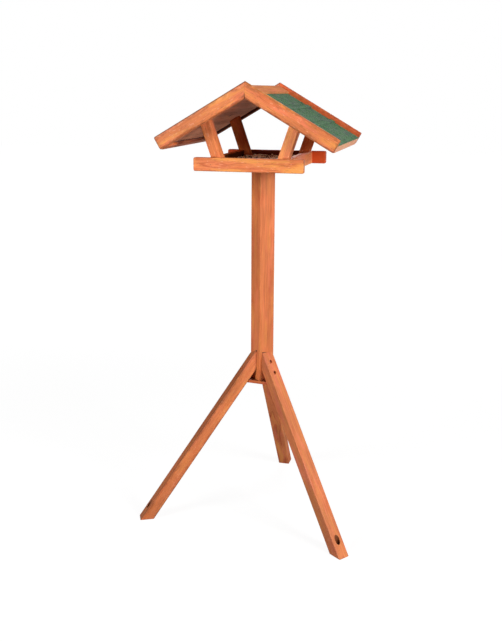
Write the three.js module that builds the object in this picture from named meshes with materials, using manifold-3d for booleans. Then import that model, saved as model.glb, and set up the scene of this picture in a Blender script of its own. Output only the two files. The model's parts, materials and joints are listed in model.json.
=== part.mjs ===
// A wooden bird table: a roofed tray on a square post that stands on three splayed legs.
// Millimetres, +Z up, +X to the right along the front rail of the tray, +Y to the back.
import * as THREE from 'three';
import { mergeVertices } from 'three/addons/utils/BufferGeometryUtils.js';
import Module from 'manifold-3d';

const wasm = await Module();
wasm.setup();

// Driving dimensions of the whole table
const total_height = 1150;
const house_height = 206;
const fit_gap = 0.3;
const arris = 2.5;
const cut_overrun = 4;

// Driving dimensions of the roof
const eave_overhang = 88;
const verge_overhang = 30;
const roof_pitch_degrees = 30;
const verge_height = 33;
const verge_thickness = 15;
const verge_round = 6;
const verge_stand = 12.7;
const eave_thickness = 15;
const panel_thickness = 10;
const felt_thickness = 2.5;
const felt_lap = 12;
const felt_lap_ramp = 6;
const first_course_end = 108;
const second_course_end = 181;
const ridge_board_width = 31;
const ridge_board_thickness = 5;

// Driving dimensions of the tray and its struts
const tray_length = 267;
const tray_depth = 316;
const rail_height = 32;
const rail_thickness = 17;
const rail_corner = 4;
const side_rail_inset = 35;
const floor_thickness = 9;
const strut_width = 26;
const strut_depth = 28;
const strut_lean_degrees = 19;

// Driving dimensions of the stand; an azimuth is turned from the front (-Y) towards the right
const post_side = 44;
const post_arris = 1.5;
const post_turn_degrees = 45;
const leg_width = 33;
const leg_depth = 30;
const leg_slope_degrees = 34.3;
const leg_top_height = 462;
const post_below_leg_tops = 77;
const right_leg_azimuth_degrees = 52;
const left_leg_azimuth_degrees = -65;
const rear_leg_azimuth_degrees = 180;
const peg_hole_diameter = 14;
const peg_hole_height = 39;
const plate_thickness = 8;
const plate_edge_distance = 32;

// Driving dimensions of the screws and nails
const stand_screw = { shank: 4.5, head: 8, head_height: 3.2 };
const small_screw = { shank: 3.5, head: 7, head_height: 2.8 };
const lost_head_nail = { shank: 2, head: 2.8, head_height: 1.2 };
const leg_screw_sink = 7;
const leg_screw_tip_distance = 7;
const upper_leg_screw_step = 28;
const lower_leg_screw_step = 59;
const post_top_screw_length = 60;
const post_top_screw_spacing = 20;
const plate_screw_tip_clearance = 12;
const plate_screw_spacing = 18;
const strut_foot_screw_length = 34;
const strut_foot_screw_edge = 7;
const strut_head_screw_length = 34;
const nail_length = 38;
const slot_width = 1.1;
const slot_length_share = 0.6;
const slot_depth_share = 0.5;
const head_rim_share = 0.3;
const edge_steps = 2;
const corner_steps = 3;
const screw_sides = 12;
const peg_hole_sides = 20;

// Angles, and levels and planes that several pieces share
const roof_pitch = THREE.MathUtils.degToRad(roof_pitch_degrees);
const strut_slant = Math.tan(THREE.MathUtils.degToRad(strut_lean_degrees));
const leg_slope = THREE.MathUtils.degToRad(leg_slope_degrees);
const leg_slant = Math.tan(leg_slope);
const post_foot_height = leg_top_height - post_below_leg_tops;
const tray_base = total_height - house_height;
const rail_top = tray_base + rail_height;
const floor_top = tray_base + floor_thickness;
const rail_inner_y = tray_depth / 2 - rail_thickness;
const side_rail_outer_x = tray_length / 2 - side_rail_inset;
const side_rail_inner_x = side_rail_outer_x - rail_thickness;
const roof_depth = tray_depth + 2 * verge_overhang;
const verge_inner_y = roof_depth / 2 - verge_thickness;
const roof_half_width = tray_length / 2 + eave_overhang;
const roof_slope_length = roof_half_width / Math.cos(roof_pitch);
const eave_inner = roof_slope_length - eave_thickness;
const panel_top = verge_stand + felt_thickness + fit_gap;
const panel_bottom = panel_top + panel_thickness;
const post_half = post_side / 2;
const post_seat = post_half + fit_gap;

const x_way = new THREE.Vector3(1, 0, 0);
const y_way = new THREE.Vector3(0, 1, 0);
const z_way = new THREE.Vector3(0, 0, 1);
const left_and_right = [{ side: 'left', sign: -1 }, { side: 'right', sign: 1 }];
const front_and_rear = [{ end: 'front', sign: -1 }, { end: 'rear', sign: 1 }];

function heading(azimuth_degrees) {
  const azimuth = THREE.MathUtils.degToRad(azimuth_degrees);
  return new THREE.Vector3(Math.sin(azimuth), -Math.cos(azimuth), 0);
}

// Finishes: stained softwood, plywood, green mineral felt and zinc-plated steel
function stained_wood() {
  return new THREE.MeshStandardMaterial({ color: 0xc9794c, roughness: 0.7, metalness: 0 });
}

function plywood() {
  return new THREE.MeshStandardMaterial({ color: 0x8f7159, roughness: 0.85, metalness: 0 });
}

function green_felt() {
  return new THREE.MeshStandardMaterial({ color: 0x517a5d, roughness: 0.97, metalness: 0 });
}

function zinc_steel() {
  return new THREE.MeshStandardMaterial({ color: 0xa7a6a0, roughness: 0.4, metalness: 0.9 });
}

function stained_steel() {
  return new THREE.MeshStandardMaterial({ color: 0x8a4f30, roughness: 0.6, metalness: 0.3 });
}

// Every piece is kept with its uncut form, and every hole or seat with the piece it is cut from,
// until all of them are known
const pieces = [];
const cutters = {};

function piece(name, blank, finish) {
  pieces.push({ name, blank, finish });
}

function cut_from(name, cutter) {
  cutters[name] = [...(cutters[name] ?? []), cutter];
}

// A closed geometry as a solid that can be cut, without the flat slivers at a lathe's poles
function solid(geometry) {
  const bare = geometry.clone();
  bare.deleteAttribute('normal');
  bare.deleteAttribute('uv');
  const merged = mergeVertices(bare);
  const corners = merged.index.array;
  const kept = [];
  for (let i = 0; i < corners.length; i += 3) {
    const [a, b, c] = corners.slice(i, i + 3);
    if (a !== b && b !== c && c !== a) kept.push(a, b, c);
  }
  const mesh = new wasm.Mesh({
    numProp: 3,
    vertProperties: merged.attributes.position.array,
    triVerts: Uint32Array.from(kept),
  });
  return new wasm.Manifold(mesh);
}

function cut(geometry, tools) {
  let body = solid(geometry);
  for (const tool of tools) body = body.subtract(solid(tool));
  const mesh = body.getMesh();
  const result = new THREE.BufferGeometry();
  result.setAttribute('position', new THREE.BufferAttribute(mesh.vertProperties, 3));
  result.setIndex(new THREE.BufferAttribute(mesh.triVerts, 1));
  return result.toNonIndexed();
}

// An outline as a shape, each corner rounded off if it has a corner size
function outline_shape(outline, corner) {
  const points = outline.map((point) => new THREE.Vector2(...point));
  if (corner === 0) return new THREE.Shape(points);
  const shape = new THREE.Shape();
  points.forEach((point, i) => {
    const before = points[(i + points.length - 1) % points.length].clone().sub(point);
    const after = points[(i + 1) % points.length].clone().sub(point);
    const enter = point.clone().add(before.setLength(corner));
    const leave = point.clone().add(after.setLength(corner));
    if (i === 0) shape.moveTo(enter.x, enter.y);
    else shape.lineTo(enter.x, enter.y);
    shape.quadraticCurveTo(point.x, point.y, leave.x, leave.y);
  });
  shape.closePath();
  return shape;
}

// A board: an outline in the plane of two directions, made thick along their cross product,
// with the edges of its two faces rounded off
function board(outline, across, up, start, thickness, edge, corner = 0) {
  const geometry = new THREE.ExtrudeGeometry(outline_shape(outline, corner), {
    depth: thickness - 2 * edge,
    bevelEnabled: edge > 0,
    bevelThickness: edge,
    bevelSize: edge,
    bevelOffset: -edge,
    bevelSegments: edge_steps,
    curveSegments: corner_steps,
  });
  geometry.translate(0, 0, edge);
  const through = across.clone().cross(up);
  const place = new THREE.Matrix4().makeBasis(across, up, through).setPosition(start);
  return geometry.applyMatrix4(place);
}

// The three plain ways that a board lies, its thickness between two places given in either order
function board_along_x(outline, x_first, x_second, edge) {
  const start = x_way.clone().multiplyScalar(Math.min(x_first, x_second));
  return board(outline, y_way, z_way, start, Math.abs(x_second - x_first), edge);
}

function board_along_y(outline, y_first, y_second, edge, corner = 0) {
  const start = y_way.clone().multiplyScalar(Math.max(y_first, y_second));
  return board(outline, x_way, z_way, start, Math.abs(y_second - y_first), edge, corner);
}

function board_along_z(outline, z_first, z_second, edge) {
  const start = z_way.clone().multiplyScalar(Math.min(z_first, z_second));
  return board(outline, x_way, y_way, start, Math.abs(z_second - z_first), edge);
}

function rectangle(low_a, low_b, high_a, high_b) {
  return [[low_a, low_b], [high_a, low_b], [high_a, high_b], [low_a, high_b]];
}

// A screw or nail as a round profile: its head under the face, then its shank and point. Its
// hole is the same profile with a gap all round, open above the head.
function fastener_profile(size, length, gap, open) {
  const shank = size.shank / 2 + gap;
  const head = size.head / 2 + gap;
  const end = length + gap;
  const rim = size.head_height * head_rim_share;
  const outline = [
    [0, -open], [head, -open], [head, rim], [shank, size.head_height],
    [shank, end - size.shank], [0, end],
  ];
  return outline.map((point) => new THREE.Vector2(...point));
}

function aimed(geometry, at, way) {
  geometry.applyQuaternion(new THREE.Quaternion().setFromUnitVectors(y_way, way));
  return geometry.translate(at.x, at.y, at.z);
}

function round_bar(size, length) {
  return new THREE.LatheGeometry(fastener_profile(size, length, 0, 0), screw_sides);
}

function screw(name, size, length, at, way) {
  const slot_length = size.head * slot_length_share;
  const slot_depth = size.head_height * slot_depth_share;
  const slots = [[slot_length, slot_width], [slot_width, slot_length]].map(
    ([wide, deep]) => new THREE.BoxGeometry(wide, slot_depth * 2, deep),
  );
  piece(name, aimed(cut(round_bar(size, length), slots), at, way), zinc_steel);
}

function nail(name, at, way) {
  piece(name, aimed(round_bar(lost_head_nail, nail_length), at, way), stained_steel);
}

function fastener_hole(name, size, length, at, way, open = cut_overrun) {
  const profile = fastener_profile(size, length, fit_gap, open);
  cut_from(name, aimed(new THREE.LatheGeometry(profile, screw_sides), at, way));
}

// Legs: bars that slope outward, cut level at the ground and plumb against the faces of the
// post. The right and left legs sit on the post's two front faces, the rear leg on its rear edge.
const post_u = heading(post_turn_degrees);
const post_v = heading(post_turn_degrees + 90);
const leg_outer_radius = (height) => post_half + (leg_top_height - height) * leg_slant;
const leg_depth_level = leg_depth / Math.cos(leg_slope);
const seat_reach = leg_outer_radius(post_foot_height) + leg_width;
const legs = [
  {
    name: 'right_leg',
    azimuth_degrees: right_leg_azimuth_degrees,
    seat: rectangle(-seat_reach, -seat_reach, post_seat, seat_reach),
  },
  {
    name: 'left_leg',
    azimuth_degrees: left_leg_azimuth_degrees,
    seat: rectangle(-seat_reach, -post_seat, seat_reach, seat_reach),
  },
  {
    name: 'rear_leg',
    azimuth_degrees: rear_leg_azimuth_degrees,
    seat: rectangle(-post_seat, -seat_reach, seat_reach, post_seat),
  },
];

function leg_blank(leg, gap, edge) {
  const outer_end = leg_top_height + post_half / leg_slant;
  const inner_end = outer_end - (leg_depth_level + gap) / leg_slant;
  const foot_radius = leg_outer_radius(0);
  const outline = [
    [foot_radius - leg_depth_level - gap, 0], [foot_radius, 0], [0, outer_end], [0, inner_end],
  ];
  const half_width = leg_width / 2 + gap;
  const start = heading(leg.azimuth_degrees + 90).multiplyScalar(half_width);
  return board(outline, heading(leg.azimuth_degrees), z_way, start, half_width * 2, edge);
}

function post_seat_space(leg) {
  const start = z_way.clone().multiplyScalar(post_foot_height);
  return board(leg.seat, post_u, post_v, start, leg_top_height, 0);
}

// An upright hole through each foot for a ground peg
function peg_hole(leg) {
  const radius = peg_hole_diameter / 2;
  const length = peg_hole_height + peg_hole_diameter / leg_slant + 2 * cut_overrun;
  const hole = new THREE.CylinderGeometry(radius, radius, length, peg_hole_sides);
  hole.rotateX(Math.PI / 2);
  const centre = heading(leg.azimuth_degrees).multiplyScalar(leg_outer_radius(peg_hole_height));
  return hole.translate(centre.x, centre.y, length / 2 - cut_overrun);
}

// Two level screws hold each leg to the post, their heads sunk in the sloping face
const leg_screw_steps = [upper_leg_screw_step, lower_leg_screw_step];
for (const leg of legs) {
  piece(leg.name, leg_blank(leg, 0, arris), stained_wood);
  cut_from(leg.name, post_seat_space(leg));
  cut_from(leg.name, peg_hole(leg));
  const outward = heading(leg.azimuth_degrees);
  const inward = outward.clone().negate();
  leg_screw_steps.forEach((step, i) => {
    const height = leg_top_height - step * Math.cos(leg_slope);
    const head_distance = leg_outer_radius(height) - leg_screw_sink;
    const length = head_distance - leg_screw_tip_distance;
    const open = leg_screw_sink + stand_screw.head * leg_slant;
    const at = outward.clone().multiplyScalar(head_distance).setZ(height);
    screw(`${leg.name}_screw_${i + 1}`, stand_screw, length, at, inward);
    fastener_hole(leg.name, stand_screw, length, at, inward, open);
    fastener_hole('post', stand_screw, length, at, inward);
  });
}

// Plate under the post: its three long edges face the gaps between the legs, and its corners
// are cut to the inner faces of the legs
const gap_ways = legs.map((leg, i) => {
  const next = legs[(i + 1) % legs.length];
  const spread = THREE.MathUtils.euclideanModulo(leg.azimuth_degrees - next.azimuth_degrees, 360);
  return heading(leg.azimuth_degrees - spread / 2);
});
const plate_outline = gap_ways.map((way, i) => {
  const next = gap_ways[(i + 1) % gap_ways.length];
  const stretch = plate_edge_distance / (way.x * next.y - way.y * next.x);
  return [(next.y - way.y) * stretch, (way.x - next.x) * stretch];
});
const plate_bottom = post_foot_height - plate_thickness;
const lower_leg_screw_drop = lower_leg_screw_step * Math.cos(leg_slope);
const plate_screw_reach = post_below_leg_tops - lower_leg_screw_drop - plate_screw_tip_clearance;
const plate_screw_length = plate_thickness + plate_screw_reach;
piece(
  'base_plate',
  board_along_z(plate_outline, plate_bottom, post_foot_height, arris / 2),
  stained_wood,
);
for (const leg of legs) cut_from('base_plate', leg_blank(leg, fit_gap, 0));
for (const { side, sign } of left_and_right) {
  const at = new THREE.Vector3(sign * plate_screw_spacing / 2, 0, plate_bottom);
  screw(`${side}_plate_screw`, stand_screw, plate_screw_length, at, z_way);
  fastener_hole('base_plate', stand_screw, plate_screw_length, at, z_way);
  fastener_hole('post', stand_screw, plate_screw_length, at, z_way);
}

// Post: a square bar with one edge to the front, standing on the plate and carrying the tray
const post_outline = rectangle(-post_half, -post_half, post_half, post_half);
const post_start = z_way.clone().multiplyScalar(post_foot_height);
const post_length = tray_base - post_foot_height;
const post_bar = board(post_outline, post_u, post_v, post_start, post_length, 0, post_arris);
piece('post', post_bar, stained_wood);
for (const { end, sign } of front_and_rear) {
  const at = new THREE.Vector3(0, sign * post_top_screw_spacing / 2, floor_top);
  const down = z_way.clone().negate();
  screw(`${end}_post_top_screw`, stand_screw, post_top_screw_length, at, down);
  fastener_hole('tray_floor', stand_screw, post_top_screw_length, at, down);
  fastener_hole('post', stand_screw, post_top_screw_length, at, down);
}

// Tray floor: a plywood sheet inside the rails, its underside level with theirs
const floor_outline = rectangle(
  -side_rail_inner_x, -rail_inner_y, side_rail_inner_x, rail_inner_y,
);
piece('tray_floor', board_along_z(floor_outline, tray_base, floor_top, 0), plywood);

// Tray rails: the front and rear rails run past the side rails, which are nailed between them
const side_rail_outline = rectangle(-rail_inner_y, tray_base, rail_inner_y, rail_top);
for (const { side, sign } of left_and_right) {
  const inner_x = sign * side_rail_inner_x;
  const outer_x = sign * side_rail_outer_x;
  const rail = board_along_x(side_rail_outline, inner_x, outer_x, arris);
  piece(`${side}_rail`, rail, stained_wood);
}
const end_rail_outline = rectangle(-tray_length / 2, tray_base, tray_length / 2, rail_top);
for (const { end, sign: end_sign } of front_and_rear) {
  const outer_y = end_sign * tray_depth / 2;
  const inner_y = end_sign * rail_inner_y;
  const rail = board_along_y(end_rail_outline, outer_y, inner_y, arris, rail_corner);
  piece(`${end}_rail`, rail, stained_wood);
  for (const { side, sign } of left_and_right) {
    const nail_x = sign * (side_rail_inner_x + rail_thickness / 2);
    const at = new THREE.Vector3(nail_x, outer_y, tray_base + rail_height / 2);
    const inward = y_way.clone().multiplyScalar(-end_sign);
    nail(`${end}_${side}_rail_nail`, at, inward);
    fastener_hole(`${end}_rail`, lost_head_nail, nail_length, at, inward);
    fastener_hole(`${side}_rail`, lost_head_nail, nail_length, at, inward);
  }
}

// Struts: they lean outward from the corners of the tray. Each foot is notched over its side
// rail, half of it on the rail and half standing on the floor, and each head is cut to the slope
// of the roof.
const strut_half_level = strut_width / 2 * Math.hypot(1, strut_slant);
const strut_edge_x = (height, edge) =>
  side_rail_inner_x + (height - rail_top) * strut_slant + edge * strut_half_level;
function strut_head(edge) {
  const ridge_height = total_height - (panel_bottom + fit_gap) / Math.cos(roof_pitch);
  const fall = Math.tan(roof_pitch);
  const drop = ridge_height - rail_top - strut_edge_x(rail_top, edge) * fall;
  const height = rail_top + drop / (1 + strut_slant * fall);
  return [strut_edge_x(height, edge), height];
}
const strut_outline = [
  [strut_edge_x(floor_top, -1), floor_top], [side_rail_inner_x, floor_top],
  [side_rail_inner_x, rail_top], [strut_edge_x(rail_top, 1), rail_top],
  strut_head(1), strut_head(-1),
];
const strut_head_x = (strut_head(1)[0] + strut_head(-1)[0]) / 2;
const strut_head_z = (strut_head(1)[1] + strut_head(-1)[1]) / 2;
const strut_inner_y = rail_inner_y - strut_depth;
const strut_middle_y = rail_inner_y - strut_depth / 2;
for (const { end, sign: end_sign } of front_and_rear) {
  for (const { side, sign } of left_and_right) {
    const name = `${end}_${side}_strut`;
    const outline = strut_outline.map(([x, z]) => [sign * x, z]);
    const outer_y = end_sign * rail_inner_y;
    const inner_y = end_sign * strut_inner_y;
    piece(name, board_along_y(outline, outer_y, inner_y, arris), stained_wood);

    const screw_y = end_sign * strut_middle_y;
    const foot_x = sign * (side_rail_inner_x - strut_foot_screw_edge);
    const foot_at = new THREE.Vector3(foot_x, screw_y, tray_base);
    screw(`${name}_foot_screw`, small_screw, strut_foot_screw_length, foot_at, z_way);
    fastener_hole('tray_floor', small_screw, strut_foot_screw_length, foot_at, z_way);
    fastener_hole(name, small_screw, strut_foot_screw_length, foot_at, z_way);

    const inward = new THREE.Vector3(-sign * Math.sin(roof_pitch), 0, -Math.cos(roof_pitch));
    const head_at = new THREE.Vector3(sign * strut_head_x, screw_y, strut_head_z);
    head_at.addScaledVector(inward, -panel_thickness - fit_gap);
    screw(`${name}_head_screw`, small_screw, strut_head_screw_length, head_at, inward);
    fastener_hole(`${side}_roof_panel`, small_screw, strut_head_screw_length, head_at, inward);
    fastener_hole(name, small_screw, strut_head_screw_length, head_at, inward);
  }
}

// Roof: each outline gives how far down the slope and how deep below the top edge of the verge
// boards its corners lie. It is laid on the right slope and mirrored on the left.
const at_ridge = (depth) => [depth * Math.tan(roof_pitch), depth];
function on_slope([down_slope, depth], sign) {
  const x = down_slope * Math.cos(roof_pitch) - depth * Math.sin(roof_pitch);
  const z = total_height - down_slope * Math.sin(roof_pitch) - depth * Math.cos(roof_pitch);
  return [sign * x, z];
}

const eave_outline = rectangle(eave_inner, panel_top, roof_slope_length, verge_height);
const panel_edge = eave_inner - fit_gap;
const panel_outline = [
  at_ridge(panel_top), [panel_edge, panel_top], [panel_edge, panel_bottom],
  at_ridge(panel_bottom),
];
const felt_bottom = panel_top - fit_gap;
const felt_top = felt_bottom - felt_thickness;
const ridge_bottom = felt_top - fit_gap;
const ridge_top = ridge_bottom - ridge_board_thickness;
const ridge_board_edge = at_ridge(ridge_top)[0] + ridge_board_width;
const ridge_outline = [
  at_ridge(ridge_top), [ridge_board_edge, ridge_top], [ridge_board_edge, ridge_bottom],
  at_ridge(ridge_bottom),
];

// Felt courses: the upper two climb over the top edge of the course below, and the lowest runs
// out over the eave board
function lapped_course(upper_end, end) {
  const lift = felt_thickness + fit_gap;
  const lap_start = end - felt_lap - fit_gap;
  const climb_start = lap_start - felt_lap_ramp;
  return [
    ...upper_end, [climb_start, felt_bottom], [lap_start, felt_bottom - lift],
    [end, felt_bottom - lift], [end, felt_top - lift], [lap_start, felt_top - lift],
    [climb_start, felt_top],
  ];
}
const square_start = (end_above) =>
  [[end_above - felt_lap, felt_top], [end_above - felt_lap, felt_bottom]];
const felt_outlines = [
  lapped_course([at_ridge(felt_top), at_ridge(felt_bottom)], first_course_end),
  lapped_course(square_start(first_course_end), second_course_end),
  [
    ...square_start(second_course_end), [roof_slope_length, felt_bottom],
    [roof_slope_length, felt_top],
  ],
];

for (const { side, sign } of left_and_right) {
  const between_verges = (outline, edge) => {
    const placed = outline.map((point) => on_slope(point, sign));
    return board_along_y(placed, -verge_inner_y, verge_inner_y, edge);
  };
  piece(`${side}_roof_panel`, between_verges(panel_outline, 0), plywood);
  piece(`${side}_eave_board`, between_verges(eave_outline, arris / 2), stained_wood);
  piece(`${side}_ridge_board`, between_verges(ridge_outline, arris / 2), stained_wood);
  felt_outlines.forEach((outline, i) => {
    piece(`${side}_felt_course_${i + 1}`, between_verges(outline, 0), green_felt);
  });
}

// Verge boards: rounded over along their long edges, mitred to each other at the ridge, and
// nailed to the ends of the eave boards
const verge_nail_place = [
  (eave_inner + roof_slope_length) / 2, (panel_top + verge_height) / 2,
];

function verge_bar(low_y, sign) {
  const outline = rectangle(low_y, -verge_height, low_y + verge_thickness, 0);
  const up = new THREE.Vector3(sign * Math.sin(roof_pitch), 0, Math.cos(roof_pitch));
  const [x, z] = on_slope([sign > 0 ? -cut_overrun : roof_slope_length, 0], sign);
  const length = roof_slope_length + cut_overrun;
  return board(outline, y_way, up, new THREE.Vector3(x, 0, z), length, arris, verge_round);
}

// Everything past the mitre, on the other side of the ridge
function mitre_space(sign) {
  const space = new THREE.BoxGeometry(roof_half_width, roof_depth * 2, verge_height * 4);
  return space.translate(sign * (fit_gap - roof_half_width) / 2, 0, total_height);
}

for (const { end, sign: end_sign } of front_and_rear) {
  const outer_y = end_sign * roof_depth / 2;
  const low_y = Math.min(outer_y, end_sign * verge_inner_y);
  for (const { side, sign } of left_and_right) {
    const name = `${end}_${side}_verge_board`;
    piece(name, verge_bar(low_y, sign), stained_wood);
    cut_from(name, mitre_space(sign));
    const [nail_x, nail_z] = on_slope(verge_nail_place, sign);
    const at = new THREE.Vector3(nail_x, outer_y, nail_z);
    const inward = y_way.clone().multiplyScalar(-end_sign);
    nail(`${end}_${side}_verge_nail`, at, inward);
    fastener_hole(name, lost_head_nail, nail_length, at, inward);
    fastener_hole(`${side}_eave_board`, lost_head_nail, nail_length, at, inward);
  }
}

// The table, with its origin on the ground under the middle of its own box
const table = new THREE.Group();
for (const { name, blank, finish } of pieces) {
  const geometry = cutters[name] ? cut(blank, cutters[name]) : blank;
  geometry.computeVertexNormals();
  const mesh = new THREE.Mesh(geometry, finish());
  mesh.name = name;
  table.add(mesh);
}
const box = new THREE.Box3().setFromObject(table);
const middle = box.getCenter(new THREE.Vector3());
table.position.set(-middle.x, -middle.y, -box.min.z);

export default table;
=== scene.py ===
# A bird table: a square post on three splayed legs carries a railed tray under a felted roof.
# Metres, +Z up, +X to the right, and the front of the table faces -Y.
import json
import math

import bmesh
import bpy
from mathutils import Matrix, Vector, noise

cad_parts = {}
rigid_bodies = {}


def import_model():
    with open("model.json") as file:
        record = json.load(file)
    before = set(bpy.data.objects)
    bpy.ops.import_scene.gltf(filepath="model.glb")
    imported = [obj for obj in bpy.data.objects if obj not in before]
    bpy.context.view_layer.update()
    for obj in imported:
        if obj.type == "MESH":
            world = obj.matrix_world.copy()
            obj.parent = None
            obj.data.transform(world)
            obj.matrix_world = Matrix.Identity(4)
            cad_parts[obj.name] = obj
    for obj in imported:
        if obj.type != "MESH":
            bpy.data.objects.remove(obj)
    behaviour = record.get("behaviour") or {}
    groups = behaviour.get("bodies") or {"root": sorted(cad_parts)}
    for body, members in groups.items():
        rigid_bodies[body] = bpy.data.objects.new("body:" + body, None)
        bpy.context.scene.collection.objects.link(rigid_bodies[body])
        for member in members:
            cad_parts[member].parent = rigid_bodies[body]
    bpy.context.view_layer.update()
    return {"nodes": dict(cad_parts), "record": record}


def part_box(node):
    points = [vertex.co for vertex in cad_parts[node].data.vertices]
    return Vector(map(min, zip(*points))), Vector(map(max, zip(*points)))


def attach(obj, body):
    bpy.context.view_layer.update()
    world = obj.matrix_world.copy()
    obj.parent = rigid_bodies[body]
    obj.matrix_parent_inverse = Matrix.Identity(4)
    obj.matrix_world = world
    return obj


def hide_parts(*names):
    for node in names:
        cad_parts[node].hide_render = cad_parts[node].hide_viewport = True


for left_over in list(bpy.data.objects):
    bpy.data.objects.remove(left_over)
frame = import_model()


# Camera: it stands in front of the table and a little to the right, as high as the roof, and
# looks slightly down. Its distance is measured from the middle of the post.
camera_azimuth = math.radians(13.66)
camera_distance = 2.163
camera_height = 1.1311
look_azimuth = math.radians(14.45)
look_down = math.radians(15.24)
look_roll = math.radians(0.20)
photo_width_pixels = 502
focal_length_pixels = 848.9
sensor_width = 36.0

post_low, post_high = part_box("post")
post_middle = (post_low + post_high) / 2


def heading(azimuth):
    return Vector((math.sin(azimuth), -math.cos(azimuth), 0))


look = -heading(look_azimuth) * math.cos(look_down) - Vector((0, 0, math.sin(look_down)))
level_right = look.cross(Vector((0, 0, 1))).normalized()
level_up = level_right.cross(look)
picture_right = level_right * math.cos(look_roll) + level_up * math.sin(look_roll)
picture_up = level_up * math.cos(look_roll) - level_right * math.sin(look_roll)

camera = bpy.data.objects.new("camera", bpy.data.cameras.new("camera"))
bpy.context.scene.collection.objects.link(camera)
bpy.context.scene.camera = camera
camera.location = heading(camera_azimuth) * camera_distance
camera.location += Vector((post_middle.x, post_middle.y, camera_height))
camera.rotation_euler = Matrix((picture_right, picture_up, -look)).transposed().to_euler()
camera.data.sensor_width = sensor_width
camera.data.sensor_fit = "HORIZONTAL"
camera.data.lens = focal_length_pixels / photo_width_pixels * sensor_width
camera.data.clip_end = 100.0


# Legs: three planed softwood bars under an orange-brown stain, cut level at the ground and plumb
# against the post. The stain sinks deeper into the cut ends, and the edges are darker, partly where
# the stain gathers and partly as painted shade.
leg_azimuths = {"right_leg": 52.0, "left_leg": -65.0, "rear_leg": 180.0}
leg_slope = math.radians(34.3)

early_wood = (0.70, 0.200, 0.064, 1)
late_wood = (0.50, 0.104, 0.029, 1)
honey_streak = (0.80, 0.300, 0.070, 1)
rosy_streak = (0.79, 0.190, 0.100, 1)
deep_stain = (0.52, 0.070, 0.016, 1)
pale_stain = (0.84, 0.45, 0.27, 1)
knot_wood = (0.15, 0.040, 0.016, 1)

# A pitch is a noise's lumps per metre: along the grain, and twice across it
slow_bend_pitch = (3, 16, 16)
slow_bend_reach = 0.016
quick_bend_pitch = (14, 60, 60)
quick_bend_reach = 0.0025
ring_change_pitch = 95.0
ring_change = 2.4
late_starts = 0.35
late_full = 0.88
late_ends = 0.90
knot_push_share = 2.2
fibre_pitch = (22, 800, 800)
blotch_pitch = (7, 22, 22)
fleck_pitch = (110, 330, 330)
streaks = {
    "honey": {"shift": 5, "pitch": (12, 75, 75), "starts": 0.48, "full": 0.64},
    "rosy": {"shift": 9, "pitch": (11, 55, 55), "starts": 0.50, "full": 0.64},
    "soaked": {"shift": 21, "pitch": (12, 48, 48), "starts": 0.56, "full": 0.68},
}
soaked_share = 0.32
edge_pitch = (60, 160, 160)
grain_relief = 0.0007
end_grain_tone = 0.72
leg_top_shadow_reach = 0.0042
leg_top_shadow_kept = 0.22
peg_hole_shade_reach = 0.0078
peg_hole_shade_kept = 0.38


def join(tree, value, socket):
    if isinstance(value, bpy.types.NodeSocket):
        tree.links.new(value, socket)
    else:
        socket.default_value = value


def put(tree, sockets, values):
    for socket, value in dict(values).items():
        join(tree, value, sockets[socket])


def add(tree, kind, values=(), **settings):
    made = tree.nodes.new(kind)
    for setting, value in settings.items():
        setattr(made, setting, value)
    put(tree, made.inputs, values)
    return made


def maths(tree, operation, *values):
    return add(tree, "ShaderNodeMath", enumerate(values), operation=operation).outputs[0]


def product(tree, first, *others):
    for value in others:
        first = maths(tree, "MULTIPLY", first, value)
    return first


def vectors(tree, operation, *values):
    step = add(tree, "ShaderNodeVectorMath", enumerate(values), operation=operation)
    return step.outputs[1 if operation in ("LENGTH", "DOT_PRODUCT") else 0]


def scaled(tree, vector, factor):
    values = {0: vector, "Scale": factor}
    return add(tree, "ShaderNodeVectorMath", values, operation="SCALE").outputs[0]


def shifted(tree, vector, distance):
    return vectors(tree, "ADD", vector, (distance, distance, distance))


def parted(tree, vector):
    return add(tree, "ShaderNodeSeparateXYZ", {0: vector}).outputs


def combined(tree, *values):
    return add(tree, "ShaderNodeCombineXYZ", enumerate(values)).outputs[0]


def tinted(tree, share, first, second):
    values = {0: share, 6: first, 7: second}
    return add(tree, "ShaderNodeMix", values, data_type="RGBA").outputs[2]


# Lays each of the layers, a share and its colour, over a colour in turn
def layered(tree, colour, *layers):
    for share, over in layers:
        colour = tinted(tree, share, colour, over)
    return colour


def between(tree, value, low, high, low_result=0.0, high_result=1.0, kind="SMOOTHSTEP"):
    values = {
        "Value": value, "From Min": low, "From Max": high, "To Min": low_result, "To Max": high_result,
    }
    return add(tree, "ShaderNodeMapRange", values, interpolation_type=kind).outputs[0]


# Noise of the given pitch, which is one number where it is the same along all three ways
def lumps(tree, vector, pitch, detail=2.0):
    pitch = pitch if isinstance(pitch, tuple) else (pitch, pitch, pitch)
    values = {"Vector": vectors(tree, "MULTIPLY", vector, pitch), "Scale": 1.0, "Detail": detail}
    return add(tree, "ShaderNodeTexNoise", values).outputs[0]


def object_place(tree):
    return add(tree, "ShaderNodeTexCoord").outputs["Object"]


def turned_to(tree, way):
    facing = add(tree, "ShaderNodeTexCoord").outputs["Normal"]
    return vectors(tree, "DOT_PRODUCT", facing, way)


def new_group(name, kind, inputs, outputs):
    tree = bpy.data.node_groups.new(name, kind)
    rows = [("INPUT", *row) for row in inputs] + [("OUTPUT", *row, None) for row in outputs]
    for in_out, socket_name, socket_kind, value in rows:
        socket_type = f"NodeSocket{socket_kind}"
        socket = tree.interface.new_socket(socket_name, in_out=in_out, socket_type=socket_type)
        if value is not None:
            socket.default_value = value
    given = add(tree, "NodeGroupInput").outputs
    made = add(tree, "NodeGroupOutput").inputs
    return tree, given, made


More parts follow.
